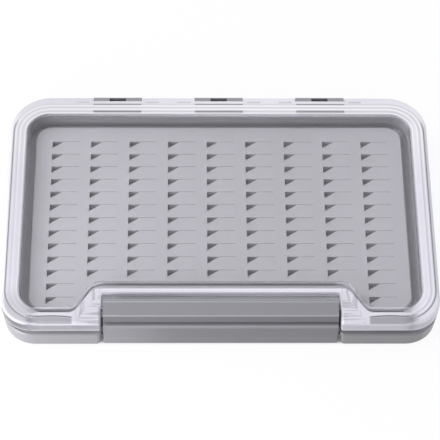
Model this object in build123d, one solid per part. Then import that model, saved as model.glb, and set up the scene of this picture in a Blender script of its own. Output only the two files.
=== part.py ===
from build123d import *
import math
import os

# Slim waterproof fly box: a grey tray with a slit silicone mat, a clear lid on
# three rear hinge pins and a full-height front latch on two short pins.
# Millimetres, +Z up, front of the box towards -Y. While it is modelled, Y = 0 is
# the middle of the lid; the finished pieces are moved so that the origin lies at
# the middle of the underside of the whole box.

# ---- lid -------------------------------------------------------------------
lid_length = 186.0
lid_depth = 121.0
lid_top = 16.4
skirt_depth = 5.4
skirt_wall = 1.65
rear_skirt_wall = 2.15
skirt_gap = 0.25
skirt_swing_gap = 0.65
rim_shoulder = 1.3
rim_step = 1.0
rim_overhang = 1.2
panel_shift = 0.6
panel_wall = 1.8
lid_front_corner = 13.0
lid_notch_round = 1.0

# ---- tray opening, with the step in its front wall round the latch ---------
opening_corner = 10.7
step_depth = 13.3
step_slope = 68.0
step_from_latch = 7.75
step_flank_round = 8.6
step_middle_round = 6.8

# ---- tray ------------------------------------------------------------------
tray_inset = 0.3
tray_back_inset = 1.1
tray_front_lip = 1.0
tray_corner = 14.0
tray_notch_round = 2.2
thumb_gap = 2.4
shell_draft = 0.8
shell_foot_round = 1.3
shell_top_bevel = 0.6
wall_lid_gap = 1.0
floor_top = 5.0
floor_wall = 1.8
basin_wall = 1.6
outer_wall = 2.1
basin_draft = 2.0
shell_roof = 1.6
floor_rib = 1.4
columns_a_rib = 2

# ---- gasket ----------------------------------------------------------------
gasket_land = 1.5
gasket_groove = 2.4
gasket_groove_depth = 2.0
gasket_side_gap = 0.1
gasket_lid_gap = 0.15
gasket_bevel = 0.55
lip_wall = 1.3
lip_drop = 0.5

# ---- slit mat --------------------------------------------------------------
mat_gap = 3.8
mat_back_shift = 0.55
mat_step_shift = 2.2
mat_thickness = 3.0
mat_edge_bevel = 0.4
mat_flank_round = 6.0
slit_length = 12.0
slit_width = 0.15
notch_length = 5.0
notch_depth = 3.6
column_pitch = 17.3
row_pitch = 6.93
column_margin = 5.0
first_row_margin = 8.25
pattern_shift = 0.5
row_margin = 2.2

# ---- hinge -----------------------------------------------------------------
hinge_pitch = 45.7
hinge_count = 3
block_width = 22.0
block_window = 7.4
window_wall = 0.7
knuckle_width = 7.5
knuckle_radius = 1.9
hinge_setback = 0.2
hinge_rise = 1.4
block_round = 0.8
hinge_gap = 0.3
pin_radius = 0.8
pin_grip = 0.01
pin_running_gap = 0.05
pin_end_inset = 0.8
window_floor = 1.3
corbel_drop = 7.2
corbel_slope = 2.6

# ---- latch -----------------------------------------------------------------
latch_length = 99.5
latch_end_gap = 0.7
latch_rise = 0.1
latch_wall = 1.6
latch_rear = 12.0
latch_crest = 3.9
latch_upper_foot = 2.75
latch_lean = 1.85
latch_lean_round = 8.0
latch_foot = 0.4
latch_shelf_rise = 0.3
groove_height = 1.6
groove_depth = 1.4
groove_round = 0.2
latch_corner = 0.8
latch_edge_round = 0.5
latch_foot_round = 0.8
latch_inner_round = 0.3
cheek_round = 2.0
rear_bead = 0.3
rear_bead_width = 1.3
rear_bead_round = 0.1
latch_pin_height = 4.6
latch_pin_length = 8.4
latch_pin_hold = 4.0
barrel_radius = 2.3
catch_length = 54.0
catch_width = 1.1
catch_setback = 0.55
catch_drop = 0.75
catch_clear = 0.25

# ---- lid ledge under the latch ---------------------------------------------
ledge_step = 2.0
ledge_wall = 1.8
ledge_front = 9.2
ledge_corner = 1.4
pocket_rear_gap = 0.7
shelf_gap = 0.25
notch_gap = 0.3
notch_inner_round = 1.6

# ---- how far a cut runs past the face that it opens -------------------------
past = 1.0

# ---- derived places --------------------------------------------------------
groove_outer = gasket_land + gasket_groove
lip_outer = groove_outer + lip_wall
rim_side = lip_outer + skirt_gap + skirt_wall
rim_back = lip_outer + skirt_swing_gap + rear_skirt_wall
rim_flank = lip_outer + skirt_swing_gap + skirt_wall
lid_corner = opening_corner + rim_side
lid_back = lid_depth / 2
lid_front = -lid_depth / 2
skirt_bottom = lid_top - skirt_depth
shell_top = skirt_bottom - thumb_gap
open_half = lid_length / 2 - rim_side
open_back = lid_back - rim_back
open_flank = lid_front + rim_flank
open_mid = open_flank + step_depth
panel_top = lid_top - rim_step
lid_under = panel_top - panel_wall
wall_top = lid_under - wall_lid_gap
groove_floor = wall_top - gasket_groove_depth
tray_back = lid_back - tray_back_inset
tray_front = lid_front - tray_front_lip
tray_half = lid_length / 2 - tray_inset
hinge_y = lid_back - hinge_setback
hinge_height = skirt_bottom + hinge_rise
latch_half = latch_length / 2
pocket_half = latch_half + latch_end_gap
notch_half = pocket_half + notch_gap
step_half = latch_half + step_from_latch
half_slope = math.radians(step_slope / 2)
flank_flat = (
    open_half - opening_corner - step_half - step_depth / 2 / math.tan(2 * half_slope)
)
ledge_top = lid_top - ledge_step
ledge_edge = lid_front + ledge_front
pocket_back = ledge_edge - pocket_rear_gap
latch_top = lid_top + latch_rise
latch_shelf = skirt_bottom + latch_shelf_rise
latch_face = lid_front
latch_pin_y = latch_face + barrel_radius
rear_most = hinge_y + knuckle_radius
origin_y = (rear_most + tray_front) / 2


# ---- shared outlines -------------------------------------------------------
def stepped_outline(half, back, front, step_x, step_y, radii, grow, slope=90.0):
    """Rounded outline with a step cut in from the front; grow moves every side out."""
    corner, front_corner, front_round, inner_round = radii
    x_out = half + grow
    y_back = back + grow
    y_front = front - grow
    y_step = step_y - grow
    turn = math.radians(slope)
    rise = (step_y - front) / 2
    x_foot = step_x + (rise * math.cos(turn) - grow * (1 - math.cos(turn))) / math.sin(turn)
    x_head = step_x - (rise * math.cos(turn) + grow * (1 - math.cos(turn))) / math.sin(turn)
    points = [
        (-x_out, y_back), (x_out, y_back), (x_out, y_front), (x_foot, y_front),
        (x_head, y_step), (-x_head, y_step), (-x_foot, y_front), (-x_out, y_front),
    ]
    outer = corner + grow
    fore = front_corner + grow
    convex = max(front_round + grow, 0.0)
    concave = max(inner_round - grow, 0.0)
    rounds = [outer, outer, fore, convex, concave, concave, convex, fore]
    return make_face(FilletPolyline(*points, radius=rounds, close=True))


def opening(grow=0.0, flank_round=step_flank_round, step_shift=0.0):
    """Tray opening: its front wall sweeps back round the latch in an S on each side."""
    flank_limit = (flank_flat + step_shift) / math.tan(half_slope)
    radii = (
        opening_corner, opening_corner, min(flank_round, flank_limit), step_middle_round
    )
    step_x = step_half - step_shift
    return stepped_outline(
        open_half, open_back, open_flank, step_x, open_mid, radii, grow, step_slope
    )


def lid_outline(grow=0.0):
    """Outside of the lid, notched in front for the latch."""
    radii = (lid_corner, lid_front_corner, lid_notch_round, notch_inner_round)
    half = lid_length / 2
    return stepped_outline(half, lid_back, lid_front, notch_half, ledge_edge, radii, grow)


def tray_outline(grow=0.0):
    """Outside of the tray's lower shell, notched in front for the latch."""
    radii = (tray_corner, tray_corner, tray_notch_round, notch_inner_round)
    return stepped_outline(
        tray_half, tray_back, tray_front, pocket_half, pocket_back, radii, grow
    )


def prism(face, bottom, top):
    """Straight prism on a plan outline between two heights."""
    return extrude(Pos(0, 0, bottom) * face, top - bottom)


def side_prism(points, width, x_middle=0.0, rounds=None):
    """Prism along X on a (y, z) outline."""
    if rounds is None:
        path = Polyline(*points, close=True)
    else:
        path = FilletPolyline(*points, radius=rounds, close=True)
    plane = Plane(origin=(x_middle - width / 2, 0, 0), x_dir=(0, 1, 0), z_dir=(1, 0, 0))
    return extrude(plane * make_face(path), width)


def rod(radius, length, x_middle, y, z):
    """Round bar along X."""
    return Pos(x_middle, y, z) * Rot(0, 90, 0) * Cylinder(radius, length)


def block(x_range, y_range, z_range):
    """Box between limits."""
    size = [high - low for low, high in (x_range, y_range, z_range)]
    middle = [(high + low) / 2 for low, high in (x_range, y_range, z_range)]
    return Pos(*middle) * Box(*size)


def edges_at(part, height):
    """Edges lying flat at one height."""
    return [
        edge for edge in part.edges()
        if abs(edge.bounding_box().min.Z - height) < 1e-4
        and abs(edge.bounding_box().max.Z - height) < 1e-4
    ]


def hinge_places():
    """Middles of the hinges along X."""
    first = -hinge_pitch * (hinge_count - 1) / 2
    return [first + hinge_pitch * index for index in range(hinge_count)]


# ---- tray ------------------------------------------------------------------
def tray_shell():
    """Drafted lower shell with a rounded foot, and the wall that the lid closes over."""
    shell = prism(tray_outline(-shell_draft), 0, shell_top)
    walls = [face for face in shell.faces() if abs(face.normal_at().Z) < 0.5]
    slope = math.degrees(math.atan2(shell_draft, shell_top))
    shell = draft(walls, Plane.XY, -slope)
    foot_round = min(shell_foot_round, tray_notch_round - shell_draft - 0.05)
    shell = fillet(edges_at(shell, 0), foot_round)
    shell = chamfer(edges_at(shell, shell_top), shell_top_bevel)
    lip = prism(opening(lip_outer), floor_top, wall_top - lip_drop)
    land = prism(opening(groove_outer), floor_top, wall_top)
    return shell + lip + land


def ledge_shelf():
    """Raised shelf in front of the wall, just under the lid's ledge."""
    ledge_under = ledge_top - ledge_wall
    return block(
        (-pocket_half, pocket_half),
        (ledge_edge + skirt_wall + shelf_gap, open_mid - lip_outer + lip_wall / 2),
        (shell_top - shell_top_bevel, ledge_under - shelf_gap),
    )


def basin():
    """Drafted inside of the tray, wider at the top."""
    depth = wall_top - floor_top
    draft_shift = depth * math.tan(math.radians(basin_draft))
    foot = Pos(0, 0, floor_top) * opening(-draft_shift)
    return extrude(foot, depth, taper=-basin_draft)


def gasket_channel():
    """Groove in the top of the wall that holds the gasket."""
    ring = opening(groove_outer) - opening(gasket_land)
    return prism(ring, groove_floor, wall_top + past)


def underside():
    """Moulding hollow below the floor, with ribs, and the one inside the outer wall."""
    hollow = prism(opening(), -past, floor_top - floor_wall)
    rib_pitch = column_pitch * columns_a_rib
    count = 2 * int(open_half / rib_pitch) + 1
    for index in range(count):
        x = rib_pitch * (index - (count - 1) / 2)
        hollow -= block(
            (x - floor_rib / 2, x + floor_rib / 2), (-lid_depth, lid_depth), (-past, floor_top)
        )
    outside = opening(rim_side - tray_inset - shell_draft - outer_wall)
    channel = prism(outside - opening(basin_wall), -past, shell_top - shell_roof)
    return hollow, channel


def hinge_block(x):
    """Corbelled block on the rear wall with a window across its pin."""
    rear = hinge_y + knuckle_radius
    front = hinge_y - knuckle_radius
    root = open_back + lip_outer - lip_wall / 2
    low = hinge_height - corbel_drop
    foot = low - corbel_slope
    top = hinge_height + knuckle_radius
    points = [
        (root, foot), (tray_back, foot), (rear, low), (rear, top), (front, top),
        (front, hinge_height), (root, hinge_height),
    ]
    rounds = [0, 0, 0, block_round, block_round, 0, 0]
    body = side_prism(points, block_width, x, rounds)
    reach = knuckle_radius - window_wall
    window = block(
        (x - block_window / 2, x + block_window / 2),
        (hinge_y - reach, hinge_y + reach),
        (hinge_height - window_floor, top + past),
    )
    bore = rod(pin_radius + pin_grip, block_width + past, x, hinge_y, hinge_height)
    return body - window - bore


def latch_bores():
    """Blind holes in the cheeks beside the latch."""
    depth = latch_pin_length - latch_pin_hold - latch_end_gap
    bores = Part()
    for side in (-1, 1):
        x = side * (pocket_half + depth / 2)
        bores += rod(pin_radius + pin_grip, depth, x, latch_pin_y, latch_pin_height)
    return bores


def make_tray():
    hollow, channel = underside()
    tray = tray_shell() + ledge_shelf() - basin() - gasket_channel() - hollow - channel
    for x in hinge_places():
        tray += hinge_block(x)
    return tray - latch_bores()


# ---- lid -------------------------------------------------------------------
def lid_shell():
    """Plate and skirt in one, with a raised rim all round the clear panel."""
    body = prism(lid_outline(), skirt_bottom, lid_top)
    body = fillet(edges_at(body, lid_top), rim_shoulder)
    panel = Pos(0, -panel_shift) * opening(-rim_overhang)
    body -= prism(panel, panel_top, lid_top + past)
    inside = prism(lid_outline(-skirt_wall), skirt_bottom - past, lid_under)
    ledge_zone = block(
        (-notch_half - rim_side, notch_half + rim_side),
        (lid_front - past, open_mid),
        (ledge_top - ledge_wall, lid_top),
    )
    ledge_zone -= prism(opening(lip_outer + skirt_gap), 0, lid_top + past)
    inside -= ledge_zone
    return body - inside


def ledge_cut():
    """Lowered ledge that the latch reaches over, with a shallow groove for its catch."""
    rear = open_mid - lip_outer
    outline = Pos(0, (rear + lid_front) / 2) * RectangleRounded(
        2 * notch_half, rear - lid_front, ledge_corner
    )
    cut = prism(outline, ledge_top, lid_top + past)
    cut += block(
        (-notch_half, notch_half), (lid_front, ledge_edge), (ledge_top, lid_top + past)
    )
    back, front = catch_span()
    half = catch_length / 2 + catch_clear
    cut += block(
        (-half, half), (front - catch_clear, back + catch_clear),
        (latch_under() - catch_drop - catch_clear, ledge_top + past),
    )
    return cut


def lid_knuckles():
    """Two knuckles a hinge, outside the tray's block, bored for the pin."""
    shift = block_width / 2 + hinge_gap + knuckle_width / 2
    knuckles = Part()
    for x in hinge_places():
        for side in (-1, 1):
            knuckles += rod(knuckle_radius, knuckle_width, x + side * shift, hinge_y, hinge_height)
    return knuckles


def hinge_cuts():
    """Gaps in the skirt for the tray's blocks, and room above the lip to swing."""
    half = block_width / 2 + hinge_gap
    inner = hinge_y - knuckle_radius - hinge_gap
    cuts = Part()
    for x in hinge_places():
        cuts += block((x - half, x + half), (inner, lid_back + past), (0, lid_top + past))
    return cuts


def skirt_relief():
    """The rear skirt stands further off the lip, so that it clears as it swings."""
    half = lid_length / 2 - lid_corner - skirt_wall
    rear = open_back + lip_outer + skirt_swing_gap
    return block((-half, half), (open_back, rear), (skirt_bottom - past, lid_under))


def make_lid():
    lid = lid_shell() - ledge_cut() - skirt_relief() - hinge_cuts()
    lid += lid_knuckles()
    for x in hinge_places():
        reach = block_width + 2 * (hinge_gap + knuckle_width) + past
        lid -= rod(pin_radius + pin_running_gap, reach, x, hinge_y, hinge_height)
    return lid


# ---- latch -----------------------------------------------------------------
def latch_rear_edge():
    return lid_front + latch_rear


def latch_under():
    return latch_top - latch_wall


def catch_span():
    """Rear and front of the catch rib, under the latch's top plate."""
    back = latch_rear_edge() - catch_setback
    return back, back - catch_width


def lean_round(wanted, rise):
    """Round where the lower face starts to lean, held within the slope above it."""
    turn = math.atan2(latch_lean, rise)
    slope_length = math.hypot(latch_lean, rise) - latch_inner_round
    return min(wanted, slope_length / math.tan(turn / 2))


def latch_section():
    """Outline in (y, z): barrel, lower face, finger groove, upper face, top plate."""
    crest = lid_front + latch_crest
    foot = lid_front + latch_upper_foot
    shelf_edge = latch_face + latch_lean
    lean_start = latch_pin_height + barrel_radius
    groove = foot + groove_depth
    rear = latch_rear_edge()
    groove_top = latch_shelf + groove_height
    inner = groove + latch_wall
    lower_inner = latch_face + latch_wall
    shelf_under = latch_shelf - latch_wall
    bead = rear - rear_bead_width
    points = [
        (latch_face, latch_foot), (latch_face, lean_start), (shelf_edge, latch_shelf),
        (groove, latch_shelf), (groove, groove_top), (foot, groove_top), (crest, latch_top),
        (bead, latch_top), (bead + rear_bead, latch_top + rear_bead),
        (rear, latch_top + rear_bead), (rear, latch_under()), (inner, latch_under()),
        (inner, shelf_under), (shelf_edge + latch_wall, shelf_under),
        (lower_inner, lean_start), (lower_inner, latch_foot),
    ]
    outer_rounds = [
        latch_foot_round, lean_round(latch_lean_round, latch_shelf - lean_start),
        latch_edge_round, groove_round,
        groove_round, latch_inner_round, latch_edge_round,
    ]
    bead_rounds = [rear_bead_round, rear_bead_round, 2 * rear_bead_round, rear_bead_round]
    inner_rounds = [
        latch_edge_round, latch_inner_round, latch_inner_round,
        lean_round(latch_lean_round - latch_wall, shelf_under - lean_start), rear_bead_round,
    ]
    return points, outer_rounds + bead_rounds + inner_rounds


def latch_end_wall():
    """Outline of the wall that closes each end of the latch."""
    points, rounds = latch_section()
    barrel_rear = latch_pin_y + barrel_radius
    closing = [
        (pocket_back - pocket_rear_gap, latch_top), (pocket_back - pocket_rear_gap, skirt_bottom),
        (barrel_rear, latch_pin_height), (barrel_rear, latch_pin_height - barrel_radius),
        (latch_pin_y, latch_foot),
    ]
    ends = [latch_edge_round, cheek_round, cheek_round, latch_edge_round, latch_edge_round]
    return points[:7] + closing, rounds[:7] + ends


def make_latch():
    points, rounds = latch_section()
    latch = side_prism(points, latch_length, rounds=rounds)
    latch += rod(barrel_radius, latch_length, 0, latch_pin_y, latch_pin_height)
    end_points, end_rounds = latch_end_wall()
    for side in (-1, 1):
        x = side * (latch_half - latch_wall / 2)
        latch += side_prism(end_points, latch_wall, x, end_rounds)
    rear = latch_rear_edge()
    back, front = catch_span()
    latch += block(
        (-catch_length / 2, catch_length / 2), (front, back),
        (latch_under() - catch_drop, latch_top - latch_wall / 2),
    )
    plan = Pos(0, (rear + latch_face) / 2) * RectangleRounded(
        latch_length, rear - latch_face, latch_corner
    )
    latch &= prism(plan, -past, latch_top + past)
    for side in (-1, 1):
        x = side * (latch_half - latch_pin_hold / 2)
        latch -= rod(
            pin_radius + pin_running_gap, latch_pin_hold + 2 * pin_running_gap, x,
            latch_pin_y, latch_pin_height,
        )
    return latch


# ---- gasket, mat and pins --------------------------------------------------
def make_gasket():
    inner = gasket_land + gasket_side_gap
    outer = groove_outer - gasket_side_gap
    top = lid_under - gasket_lid_gap
    ring = prism(opening(outer) - opening(inner), groove_floor, top)
    return chamfer(edges_at(ring, top), gasket_bevel)


def mat_columns():
    """How many columns of slits fit across the mat."""
    usable = 2 * (open_half - mat_gap - column_margin) - slit_length
    return int(usable / column_pitch) + 1


def slit_places():
    """Left end of every slit; columns behind the latch stop before its step."""
    count = mat_columns()
    span = (count - 1) * column_pitch + slit_length
    mat_back = open_back - mat_gap + mat_back_shift
    step_x = step_half + mat_gap
    places = []
    for column in range(count):
        x = -span / 2 + column * column_pitch + pattern_shift
        behind_latch = min(abs(x), abs(x + slit_length)) < step_x
        wall = open_mid if behind_latch else open_flank
        front = wall + mat_gap + mat_back_shift
        y = mat_back - first_row_margin
        while y - notch_depth > front + row_margin:
            places.append((x, y))
            y -= row_pitch
    return places


def slit_cut():
    """One slit with the right-angled notch at its left end, as a plan outline."""
    points = [
        (0, 0), (slit_length, 0), (slit_length, -slit_width),
        (notch_length, -slit_width), (0, -notch_depth),
    ]
    return make_face(Polyline(*points, close=True))


def make_mat():
    top = floor_top + mat_thickness
    outline = opening(-mat_gap, mat_flank_round + mat_gap, mat_step_shift)
    mat = prism(Pos(0, mat_back_shift) * outline, floor_top, top)
    mat = chamfer(edges_at(mat, top), mat_edge_bevel)
    cut = slit_cut()
    slits = [prism(Pos(x, y) * cut, floor_top - past, top + past) for x, y in slit_places()]
    return mat - slits


def make_hinge_pin(x):
    length = block_width + 2 * (hinge_gap + knuckle_width - pin_end_inset)
    return rod(pin_radius, length, x, hinge_y, hinge_height)


def make_latch_pin(side):
    inner = latch_half - latch_pin_hold
    x = side * (inner + latch_pin_length / 2)
    return rod(pin_radius, latch_pin_length, x, latch_pin_y, latch_pin_height)


# ---- pieces ----------------------------------------------------------------
def all_parts():
    parts = {
        "base_tray": make_tray(),
        "lid": make_lid(),
        "latch": make_latch(),
        "rim_gasket": make_gasket(),
        "slit_mat": make_mat(),
    }
    names = ["left", "middle", "right"]
    for name, x in zip(names, hinge_places()):
        parts["hinge_pin_" + name] = make_hinge_pin(x)
    parts["latch_pin_left"] = make_latch_pin(-1)
    parts["latch_pin_right"] = make_latch_pin(1)
    return parts


os.makedirs("parts", exist_ok=True)
for part_name, shape in all_parts().items():
    placed = Pos(0, -origin_y, 0) * shape
    placed.label = part_name
    export_step(placed, "parts/" + part_name + ".step")
    print(part_name, len(placed.solids()), round(placed.volume, 1))
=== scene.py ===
import bpy
import math
from mathutils import Euler, Matrix, Vector

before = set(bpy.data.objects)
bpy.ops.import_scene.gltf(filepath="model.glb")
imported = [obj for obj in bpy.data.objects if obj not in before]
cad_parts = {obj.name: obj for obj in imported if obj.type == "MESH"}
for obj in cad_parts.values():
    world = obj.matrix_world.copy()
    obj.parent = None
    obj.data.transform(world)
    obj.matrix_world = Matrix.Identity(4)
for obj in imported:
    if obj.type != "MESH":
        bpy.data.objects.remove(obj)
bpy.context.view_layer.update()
bpy.ops.object.select_all(action="DESELECT")
bpy.context.scene.view_settings.view_transform = "Standard"


# ---- Camera -------------------------------------------------------------------
# A long lens looks down on the closed box from the latch side, nearly square to
# the latch, so that the mat shows through the lid.
camera_tilt = math.radians(54.93)
camera_turn = math.radians(-1.52)
camera_roll = math.radians(1.27)
camera_distance = 0.9246
camera_aim = Vector((0.0001, -0.00394, 0.011))
picture_side = 440
focal_pixels = 2115
camera_data = bpy.data.cameras.new("camera")
camera_data.sensor_width = 36
camera_data.lens = camera_data.sensor_width * focal_pixels / picture_side
camera = bpy.data.objects.new("camera", camera_data)
bpy.context.scene.collection.objects.link(camera)
camera.location = camera_aim + camera_distance * Vector((
    math.cos(camera_tilt) * math.sin(camera_turn),
    -math.cos(camera_tilt) * math.cos(camera_turn),
    math.sin(camera_tilt),
))
level_camera = Euler((math.pi / 2 - camera_tilt, 0, camera_turn)).to_matrix()
camera.rotation_euler = (level_camera @ Matrix.Rotation(camera_roll, 3, "Z")).to_euler()
bpy.context.scene.camera = camera


# ---- Tray ---------------------------------------------------------------------
# The lower half of the box, one injection moulding in grey ABS: shell, upright
# wall round the opening, floor and the three hinge blocks. The tool left a fine
# satin grain on it, and handling has dulled some patches.
class Level:
    """One socket of a material that takes part in sums and products."""

    def __init__(self, finish, socket):
        self.finish = finish
        self.socket = socket

    def math(self, operation, *terms):
        return self.finish.node(
            "ShaderNodeMath", {"operation": operation}, dict(enumerate(terms))
        )

    def __add__(self, other):
        return self.math("ADD", self, other)

    def __radd__(self, other):
        return self.math("ADD", other, self)

    def __sub__(self, other):
        return self.math("SUBTRACT", self, other)

    def __rsub__(self, other):
        return self.math("SUBTRACT", other, self)

    def __neg__(self):
        return self.math("SUBTRACT", 0, self)

    def __mul__(self, other):
        return self.math("MULTIPLY", self, other)

    def __rmul__(self, other):
        return self.math("MULTIPLY", other, self)

    def __truediv__(self, other):
        return self.math("DIVIDE", self, other)

    def __rtruediv__(self, other):
        return self.math("DIVIDE", other, self)


class Finish:
    """One material, built up from nodes."""

    def __init__(self, name):
        self.material = bpy.data.materials.new(name)
        self.material.use_nodes = True
        self.tree = self.material.node_tree
        self.tree.nodes.clear()

    def node(self, kind, settings=None, inputs=None, output=0):
        """Adds a node, sets it up, joins or sets its sockets, and gives one output."""
        new = self.tree.nodes.new(kind)
        for key, value in (settings or {}).items():
            setattr(new, key, value)
        for key, value in (inputs or {}).items():
            if isinstance(value, Level):
                self.tree.links.new(value.socket, new.inputs[key])
            else:
                new.inputs[key].default_value = value
        return Level(self, new.outputs[output])

    def place(self):
        """Where the point lies on the piece, in metres."""
        return self.node("ShaderNodeTexCoord", output="Object")

    def along(self, axis):
        """One coordinate of that place, in metres."""
        return self.node("ShaderNodeSeparateXYZ", {}, {0: self.place()}, output=axis)

    def noise(self, scale, detail, stretch=(1, 1, 1)):
        """Noise between 0 and 1, with scale in features per metre."""
        where = self.node(
            "ShaderNodeMapping", {"vector_type": "POINT"},
            {"Vector": self.place(), "Scale": stretch},
        )
        return self.node(
            "ShaderNodeTexNoise", {"noise_dimensions": "3D"},
            {"Vector": where, "Scale": scale, "Detail": detail},
        )

    def step(self, value, low, high):
        """0 below low, 1 above high, with a smooth rise between them."""
        return self.node(
            "ShaderNodeMapRange", {"interpolation_type": "SMOOTHSTEP"},
            {"Value": value, "From Min": low, "From Max": high},
        )

    def ramp(self, value, low, high):
        """0 below low, 1 above high, with a straight rise between them."""
        return self.node(
            "ShaderNodeMapRange", {"interpolation_type": "LINEAR", "clamp": True},
            {"Value": value, "From Min": low, "From Max": high},
        )

    def peak(self, value, middle, half_width):
        """1 at the middle of a narrow line, falling to 0 on both sides."""
        return self.larger(1 - self.size(value - middle) / half_width, 0)

    def between(self, value, rise, fall):
        """1 from the end of the rise to the start of the fall, 0 outside them."""
        return self.step(value, *rise) * (1 - self.step(value, *fall))

    def blend(self, share, first, second):
        """Colour between two colours."""
        return self.node(
            "ShaderNodeMix", {"data_type": "RGBA", "clamp_factor": True},
            {0: share, 6: first, 7: second}, output=2,
        )

    def larger(self, first, second):
        return first.math("MAXIMUM", first, second)

    def size(self, value):
        """A number without its sign."""
        return value.math("ABSOLUTE", value)

    def root(self, value):
        return value.math("SQRT", value)

    def rounded(self, value):
        return value.math("ROUND", value)

    def outside(self, half, middle, corner):
        """How far a point lies outside a rounded rectangle, in plan."""
        side = self.size(self.along("X") - middle[0]) - (half[0] - corner)
        depth = self.size(self.along("Y") - middle[1]) - (half[1] - corner)
        side = self.larger(side, 0)
        depth = self.larger(depth, 0)
        return self.root(side * side + depth * depth) - corner

    def bump(self, height, strength, depth):
        return self.node(
            "ShaderNodeBump", {},
            {"Height": height, "Strength": strength, "Distance": depth},
        )

    def surface(self, **sockets):
        named = {key.replace("_", " "): value for key, value in sockets.items()}
        return self.node("ShaderNodeBsdfPrincipled", {}, named)

    def mixed(self, share, first, second):
        """Two shaders, from the first at 0 to the second at 1."""
        return self.node("ShaderNodeMixShader", {}, {0: share, 1: first, 2: second})

    def done(self, shader):
        out = self.tree.nodes.new("ShaderNodeOutputMaterial")
        self.tree.links.new(shader.socket, out.inputs["Surface"])
        return self.material


def grey(level, tint=(1.0, 1.0, 1.0)):
    """Linear colour of a screen grey level from 0 to 255, with a tint."""
    share = level / 255
    linear = share / 12.92 if share <= 0.04045 else ((share + 0.055) / 1.055) ** 2.4
    return (linear * tint[0], linear * tint[1], linear * tint[2], 1)


def dress(node, material):
    """Gives a CAD node its one material."""
    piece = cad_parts[node]
    piece.data.materials.clear()
    piece.data.materials.append(material)


def moulded_grey(plastic, level, tint, dull, painted_shift, painted_pale=0.0):
    """Grey ABS: tool grain, flow clouds and dulled patches.

    shift moves its grey level between a painted shaded and a painted lit copy of
    the grey, as painted light and shade, and pale paints it on towards the lightest
    grey, as painted light where little light reaches the wall.
    """
    half_span = 50
    mottle = 3
    middle_share = 0.47
    palest = 225
    flow = plastic.noise(38, 3, (1, 2.2, 1))
    grain = plastic.noise(5200, 2)
    patches = plastic.step(plastic.noise(110, 5), 0.5, 0.75)
    skin = flow * 0.7 + plastic.noise(700, 3) * 0.3
    # Painted light and shade: dark and light are a painted shaded copy and a painted lit copy of
    # the grey, and the shift blends between them.
    dark = plastic.blend(
        skin, grey(level - half_span - mottle, tint), grey(level - half_span + mottle, tint)
    )
    light = plastic.blend(
        skin, grey(level + half_span - mottle, tint), grey(level + half_span + mottle, tint)
    )
    shaded = plastic.blend(middle_share + painted_shift / 100, dark, light)
    return plastic.done(plastic.surface(
        Base_Color=plastic.blend(painted_pale, shaded, grey(palest, tint)),
        Roughness=dull + 0.06 * flow + 0.08 * patches,
        Normal=plastic.bump(grain, 0.22, 0.00002),
        IOR=1.5,
    ))


tray_plastic = Finish("tray_grey")
tray_x = tray_plastic.along("X")
tray_y = tray_plastic.along("Y")
tray_z = tray_plastic.along("Z")
tray_across = tray_plastic.size(tray_x)
wall_foot = (0.0845, 0.0855)

# The inner walls stand between the floor and the top of the opening.
over_floor = tray_plastic.step(tray_z, 0.0049, 0.0052)
below_top = 1 - tray_plastic.step(tray_z, 0.0120, 0.0125)
in_opening = (
    (1 - tray_plastic.step(tray_across, 0.0875, 0.0885))
    * (1 - tray_plastic.step(tray_plastic.size(tray_y), 0.0526, 0.0530))
)
inner_wall = below_top * in_opening * over_floor
side_wall = tray_plastic.step(tray_across, *wall_foot)
right_wall = tray_plastic.step(tray_x, *wall_foot)
right_wall_top = right_wall * tray_plastic.step(tray_z, 0.0050, 0.0100)

# A strip of bare floor shows on both sides of the mat.
beside_mat = (
    tray_plastic.step(tray_across, 0.0795, 0.0805) * in_opening * (1 - over_floor)
    * tray_plastic.step(tray_z, 0.0020, 0.0025) * tray_plastic.step(tray_y, -0.0480, -0.0400)
)
right_half = tray_plastic.step(tray_x, 0.0, 0.0100)
to_right_wall = tray_plastic.step(tray_x, 0.0815, 0.0850)

# Painted light and shade: the inner walls are painted lighter, the side walls most
# and paler still where little light reaches them, and the upper part of the right
# wall darker where the left lamp lights it. The floor strip beside the mat is
# painted lighter, more on the right but darker by the right wall. The hinge blocks
# and the top of the wall are painted lighter, the right end of the front darker.
at_hinges = tray_plastic.step(tray_y, 0.0570, 0.0575)
wall_top = (1 - below_top) * (1 - at_hinges)
right_front = (
    tray_plastic.step(tray_x, 0.0200, 0.0600) * tray_plastic.step(-tray_y, 0.0590, 0.0600)
)
tray_painted_light = (
    (14 + 50 * side_wall - 80 * right_wall_top) * inner_wall
    + (31 + 24 * right_half - 62 * to_right_wall) * beside_mat
    + 8 * at_hinges + 32 * wall_top - 13 * right_front
)
wall_painted_light = inner_wall * (0.8 * side_wall - 0.55 * right_wall - 0.25 * right_wall_top)
dress("base_tray", moulded_grey(
    tray_plastic, level=134, tint=(1, 1, 1.08), dull=0.34,
    painted_shift=tray_painted_light, painted_pale=tray_plastic.larger(wall_painted_light, 0),
))


# ---- Gasket -------------------------------------------------------------------
# A ring of milky silicone pressed into the groove in the top of the tray's wall,
# with bevelled upper edges. The lid squeezes it when the latch shuts.
silicone = Finish("gasket_silicone")
silicone_tint = (1, 1, 1.06)
milk = silicone.noise(90, 3)
dress("rim_gasket", silicone.done(silicone.surface(
    Base_Color=silicone.blend(milk, grey(226, silicone_tint), grey(236, silicone_tint)),
    Roughness=0.40 + 0.12 * milk,
    Normal=silicone.bump(silicone.noise(2600, 2), 0.2, 0.00002),
    Specular_IOR_Level=0.4,
)))


# ---- Mat ----------------------------------------------------------------------
# A sheet of soft grey silicone bonded to the tray's floor. Every slit takes a
# hook, and the right-angled notch at its left end lets the fingers in.
rubber = Finish("mat_silicone")
rubber_tint = (1, 0.97, 1.04)
patch = rubber.noise(45, 4)
fine = rubber.noise(3400, 3)
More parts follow.
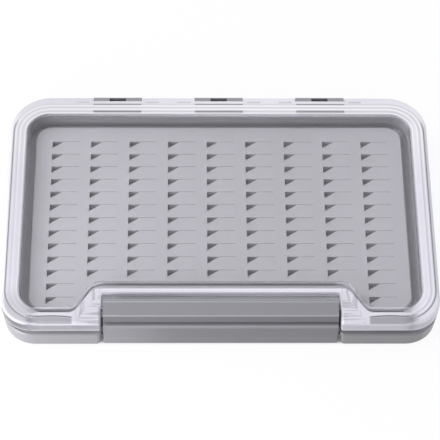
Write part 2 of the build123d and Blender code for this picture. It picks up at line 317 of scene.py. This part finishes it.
# Painted light: the mat is painted lighter towards its right end.
right_painted_light = rubber.step(rubber.along("X"), 0.0200, 0.0900)
dress("slit_mat", rubber.done(rubber.surface(
    Base_Color=rubber.blend(
        0.5 * right_painted_light,
        rubber.blend(
            patch * 0.7 + fine * 0.3, grey(181, rubber_tint), grey(190, (1, 0.975, 1.035))
        ),
        grey(200, rubber_tint),
    ),
    Roughness=0.60 + 0.14 * fine,
    Normal=rubber.bump(fine, 0.35, 0.00003),
    Specular_IOR_Level=0.35,
)))


# ---- Lid ----------------------------------------------------------------------
# One clear polystyrene moulding: flat panel, raised rim all round it, skirt, the
# lowered ledge that the latch grips and six hinge knuckles. The light that its
# thick rim gathers from the white surroundings is painted on as milky white.
clear = Finish("clear_plastic")
haze = clear.noise(30, 3)
light_path = "ShaderNodeLightPath"
glass = clear.surface(
    Base_Color=clear.blend(haze, (0.965, 0.965, 0.985, 1), (0.98, 0.98, 0.995, 1)),
    Roughness=0.015 + 0.02 * haze,
    Transmission_Weight=1.0,
    IOR=1.5,
)
see_through = clear.node("ShaderNodeBsdfTransparent", {}, {"Color": (0.97, 0.97, 0.98, 1)})

# Painted light: the rim is painted milky white all round the clear panel, as it
# looks white from above. The painted white starts at a rounded rectangle, but for
# the front, where the opening steps back round the latch.
lid_x = clear.along("X")
lid_y = clear.along("Y")
lid_z = clear.along("Z")
lid_across = clear.size(lid_x)
on_top = clear.step(lid_z, 0.0150, 0.0158)
rim_half = (0.0858, 0.05185)
rim_middle = (0, -0.00155)
from_rim = clear.outside(rim_half, rim_middle, corner=0.0100)
front_zone = (
    clear.step(-lid_y, 0.0400, 0.0412) * (1 - clear.step(lid_across, 0.0750, 0.0860))
)
side_zone = 1 - front_zone
side_rim = clear.ramp(from_rim, -0.0003, 0.0006) * side_zone

# In front of the opening the rim lies over the gasket. Beside the latch the cheeks
# gather the light, and behind it the rim ends at the lowered ledge. There the
# painted white is thinner; a painted highlight runs along the inner edge of the
# rim and a painted dark line of shadow along the gap before the latch.
front_edge = -0.05335
step_back = 0.0133
latch_half = (0.0500, 0.0508)
latch_side = 1 - clear.step(lid_across, 0.0525, 0.0640)
before_edge = front_edge + step_back * latch_side - lid_y
rim_start = 0.0016 + 0.0012 * latch_side
latch_span = 1 - clear.step(lid_across, *latch_half)
behind_latch = latch_span * clear.step(before_edge, 0.0053, 0.0056)
front_rim = (
    clear.ramp(before_edge - rim_start, 0, 0.0006) * front_zone * (1 - 0.8 * behind_latch)
)
painted_rim_share = clear.larger(side_rim, front_rim)
lip_highlight = clear.peak(before_edge, -0.0003, 0.0006) * front_zone
gap_shadow_line = clear.peak(before_edge, 0.0080, 0.0005) * latch_span * front_zone

# Painted grey on a strip of each flank, bowed towards its middle, stands for the
# grey of the tray seen through the lid, with a painted dark line along its inner edge.
flank_middle = 0.0715
bow_rate = 9
bow = (lid_across - flank_middle) * (lid_across - flank_middle) * bow_rate
flank = (
    clear.between(lid_across, (0.0620, 0.0632), (0.0800, 0.0845))
    * clear.step(-lid_y, 0.0, 0.0100)
)
flank_shade_line = clear.peak(from_rim - bow, 0.0036, 0.0007) * flank
painted_lens = (
    clear.ramp(from_rim - bow, 0.0038, 0.0042) * (1 - clear.step(from_rim, 0.0071, 0.0076))
    * flank
)

# The cheeks beside the latch bend what lies under them into streaks, painted on as
# grey streaks.
cheek = clear.between(lid_across, (0.0505, 0.0515), (0.0600, 0.0620)) * front_zone
at_front = clear.step(before_edge, 0.0080, 0.0090)
painted_streak = (
    clear.step(clear.noise(800, 2, (1, 0.12, 0.12)), 0.46, 0.62) * (1 - at_front)
    + clear.step(clear.noise(900, 2, (0.08, 1, 0.12)), 0.44, 0.60) * at_front
) * cheek * on_top

# Painted shade: edges that catch no light get thin painted grey lines round the
# rim, darker where a hinge block stands behind it, and a short one beside each
# knuckle next to a block.
hinge_pitch = 0.0457
from_block = clear.size(lid_x - hinge_pitch * clear.rounded(lid_x / hinge_pitch))
at_back = clear.step(lid_y, 0.0440, 0.0480)
at_block = (
    (1 - clear.step(from_block, 0.0105, 0.0112)) * (1 - clear.step(lid_across, 0.0600, 0.0610))
)
at_knuckle = (
    clear.between(from_block, (0.0125, 0.0130), (0.0185, 0.0190))
    * (1 - clear.step(lid_across, 0.0640, 0.0645))
)
outer_line = (
    clear.peak(from_rim, 0.0057, 0.0006) * side_zone * (1 - 0.75 * at_back * (1 - at_block))
)
middle_line = clear.peak(from_rim, 0.0037, 0.0006) * side_zone
knuckle_line = clear.peak(from_rim, 0.0068, 0.0007) * at_back * at_knuckle
back_line = (
    clear.peak(from_rim, 0.0016, 0.0009) * at_back * 0.25
    + clear.peak(from_rim, 0.0016, 0.0012) * at_back * at_block * 0.6
)
line_shade = clear.larger(
    clear.larger(outer_line * 0.85 + middle_line * 0.26 + knuckle_line * 0.35, back_line),
    clear.larger(flank_shade_line, gap_shadow_line),
)

# Painted highlights: other edges catch the light and get painted white lines, and
# the rim is painted whiter, most of all towards the back.
to_back = clear.step(lid_y, 0.0100, 0.0400)
highlight_line = (
    clear.peak(from_rim, 0.0048, 0.0005) + clear.peak(from_rim, 0.0029, 0.0006)
    + clear.peak(from_rim, 0.0008, 0.0005)
) * side_zone * (0.4 + 0.6 * to_back)

# Painted shade: the skirt, the left side and its front corner are painted greyer,
# as they take less light than the top, and so are the streaks, the flank strips
# and the front.
skirt = clear.between(lid_z, (0.0112, 0.0116), (0.0146, 0.0156))
left_side = 1 - clear.step(lid_x, -0.0900, 0.0200)
left_corner = clear.step(-lid_x, 0.0780, 0.0860) * clear.step(-lid_y, 0.0400, 0.0520)
broad_shade = (
    clear.larger(painted_lens * 0.55, skirt * (0.34 + 0.24 * left_side) + left_side * 0.14)
    + 0.30 * painted_streak + 0.18 * left_corner + 0.05 * front_zone * (1 - flank)
)
painted_rim_tint = (1, 0.985, 1.10)
painted_white_rim = clear.surface(
    Base_Color=clear.blend(
        clear.larger(line_shade, broad_shade),
        clear.blend(
            0.8 * highlight_line + 0.4 * to_back,
            clear.blend(haze, grey(236, painted_rim_tint), grey(244, painted_rim_tint)),
            grey(255, (0.97, 0.955, 1)),
        ),
        grey(60, (1, 1, 1.08)),
    ),
    Roughness=0.25 + 0.1 * haze,
    IOR=1.5,
)
moulding = clear.mixed(
    clear.larger(
        painted_rim_share * (0.78 + 0.16 * highlight_line) + 0.2 * flank_shade_line,
        clear.larger(lip_highlight * 0.7, gap_shadow_line * on_top),
    ),
    glass, painted_white_rim,
)
shadow_ray = clear.node(light_path, output="Is Shadow Ray")
dress("lid", clear.done(clear.mixed(shadow_ray, moulding, see_through)))


# ---- Latch --------------------------------------------------------------------
# A wide flap in the same grey ABS, hinged low on the tray's front. Its hooked top
# plate grips the lid's ledge, and a groove across its face takes a fingertip.
latch_plastic = Finish("latch_grey")
latch_x = latch_plastic.along("X")
latch_y = latch_plastic.along("Y")
latch_z = latch_plastic.along("Z")
left_end = 1 - latch_plastic.step(latch_x, -0.0480, -0.0150)

# Painted highlights: lighter lines are painted where its edges catch the light: the
# bead along the rear of the top plate, the crest at its front, the shelf under the
# groove and the foot.
bead_rear = -0.04895
bead_front = -0.05010
crest = -0.05690
shelf = -0.05865
on_bead = latch_plastic.step(latch_z, 0.0160, 0.0164)
bead_highlight = (
    latch_plastic.peak(latch_y, bead_rear, 0.0004) + latch_plastic.peak(latch_y, bead_front, 0.0004)
) * on_bead
crest_highlight = (
    latch_plastic.peak(latch_y, crest, 0.0004) * latch_plastic.step(latch_z, 0.0155, 0.0160)
)
shelf_highlight = latch_plastic.peak(latch_y, shelf, 0.0005) * (1 - on_bead)
foot_highlight = 1 - latch_plastic.step(latch_z, 0.0008, 0.0016)

# Painted shade: the two faces that look forward are painted darker than the plate,
# the lower one less so towards its left end, where the corner lamp lights it.
upper_face = (
    latch_plastic.step(-latch_y, 0.0570, 0.0572) * latch_plastic.step(latch_z, 0.0126, 0.0130)
)
lower_face = (
    latch_plastic.step(-latch_y, 0.0592, 0.0596)
    * (1 - latch_plastic.step(latch_z, 0.0112, 0.0116))
)
latch_painted_light = (
    26 * crest_highlight + 34 * bead_highlight + 26 * shelf_highlight + 20 * foot_highlight
    - 27 * upper_face - (20 - 16 * left_end) * lower_face
)
dress("latch", moulded_grey(
    latch_plastic, level=131, tint=(1, 1, 1.10), dull=0.3, painted_shift=latch_painted_light
))


# ---- Pins ---------------------------------------------------------------------
# Drawn steel wire cut to length: three for the lid's hinges and two for the
# latch. Their drawn skin is dull and marked along its length.
steel = Finish("pin_steel")
draw_marks = steel.noise(1500, 3, (0.05, 1, 1))
pin_metal = steel.done(steel.surface(
    Base_Color=steel.blend(draw_marks, grey(112), grey(140)),
    Metallic=1.0,
    Roughness=0.35 + 0.15 * draw_marks,
    Normal=steel.bump(draw_marks, 0.2, 0.00001),
))
for pin in ("hinge_pin_left", "hinge_pin_middle", "hinge_pin_right",
            "latch_pin_left", "latch_pin_right"):
    dress(pin, pin_metal)


# ---- Table and light ----------------------------------------------------------
# The box lies on white paper in a white light tent. One soft lamp stands close to
# its left front corner and one hangs over its left side.
bpy.ops.mesh.primitive_plane_add(size=6, location=(0, 0, 0))
table = bpy.context.object
table.name = "paper_table"

# Seen directly, in a mirror or through the lid, the paper round the box is burnt
# out to white. Right under the box it stays nearly a plain sheet.
paper = Finish("white_paper")
fibre = paper.noise(900, 4)
seen = paper.node(light_path, output="Is Camera Ray")
mirrored = paper.node(light_path, output="Is Glossy Ray")
bent = paper.node(light_path, output="Is Transmission Ray")
shown = paper.larger(paper.larger(seen, mirrored), bent)
sheet = paper.surface(
    Base_Color=paper.blend(fibre, grey(243), grey(249)),
    Roughness=0.9,
    Specular_IOR_Level=0.0,
)
white = paper.node("ShaderNodeEmission", {}, {"Color": (1, 1, 1, 1), "Strength": 1.0})
box_half = (0.0922, 0.0606)
beyond_box = paper.step(paper.outside(box_half, (0, 0), corner=0.0150), -0.0012, 0.0004)
table.data.materials.append(
    paper.done(paper.mixed(shown * (0.08 + 0.84 * beyond_box), sheet, white))
)

tent = bpy.data.worlds.new("white_tent")
bpy.context.scene.world = tent
tent.use_nodes = True
tent_light = tent.node_tree.nodes["Background"].inputs
tent_light["Color"].default_value = (1, 1, 1, 1)
tent_light["Strength"].default_value = 0.72


def soft_lamp(name, place, aim, size, watts):
    """A square lamp turned towards a point."""
    lamp_data = bpy.data.lights.new(name, "AREA")
    lamp_data.energy = watts
    lamp_data.size = size
    lamp = bpy.data.objects.new(name, lamp_data)
    bpy.context.scene.collection.objects.link(lamp)
    lamp.location = place
    lamp.rotation_euler = (Vector(aim) - Vector(place)).to_track_quat("-Z", "Y").to_euler()
    return lamp


left_lamp = soft_lamp("left_lamp", (-0.9, 0.1, 0.8), aim=(0, 0, 0), size=0.9, watts=7)
left_lamp.visible_glossy = False
soft_lamp("corner_lamp", (-0.2, -0.17, 0.05), aim=(-0.075, -0.06, 0.01), size=0.1, watts=0.3)
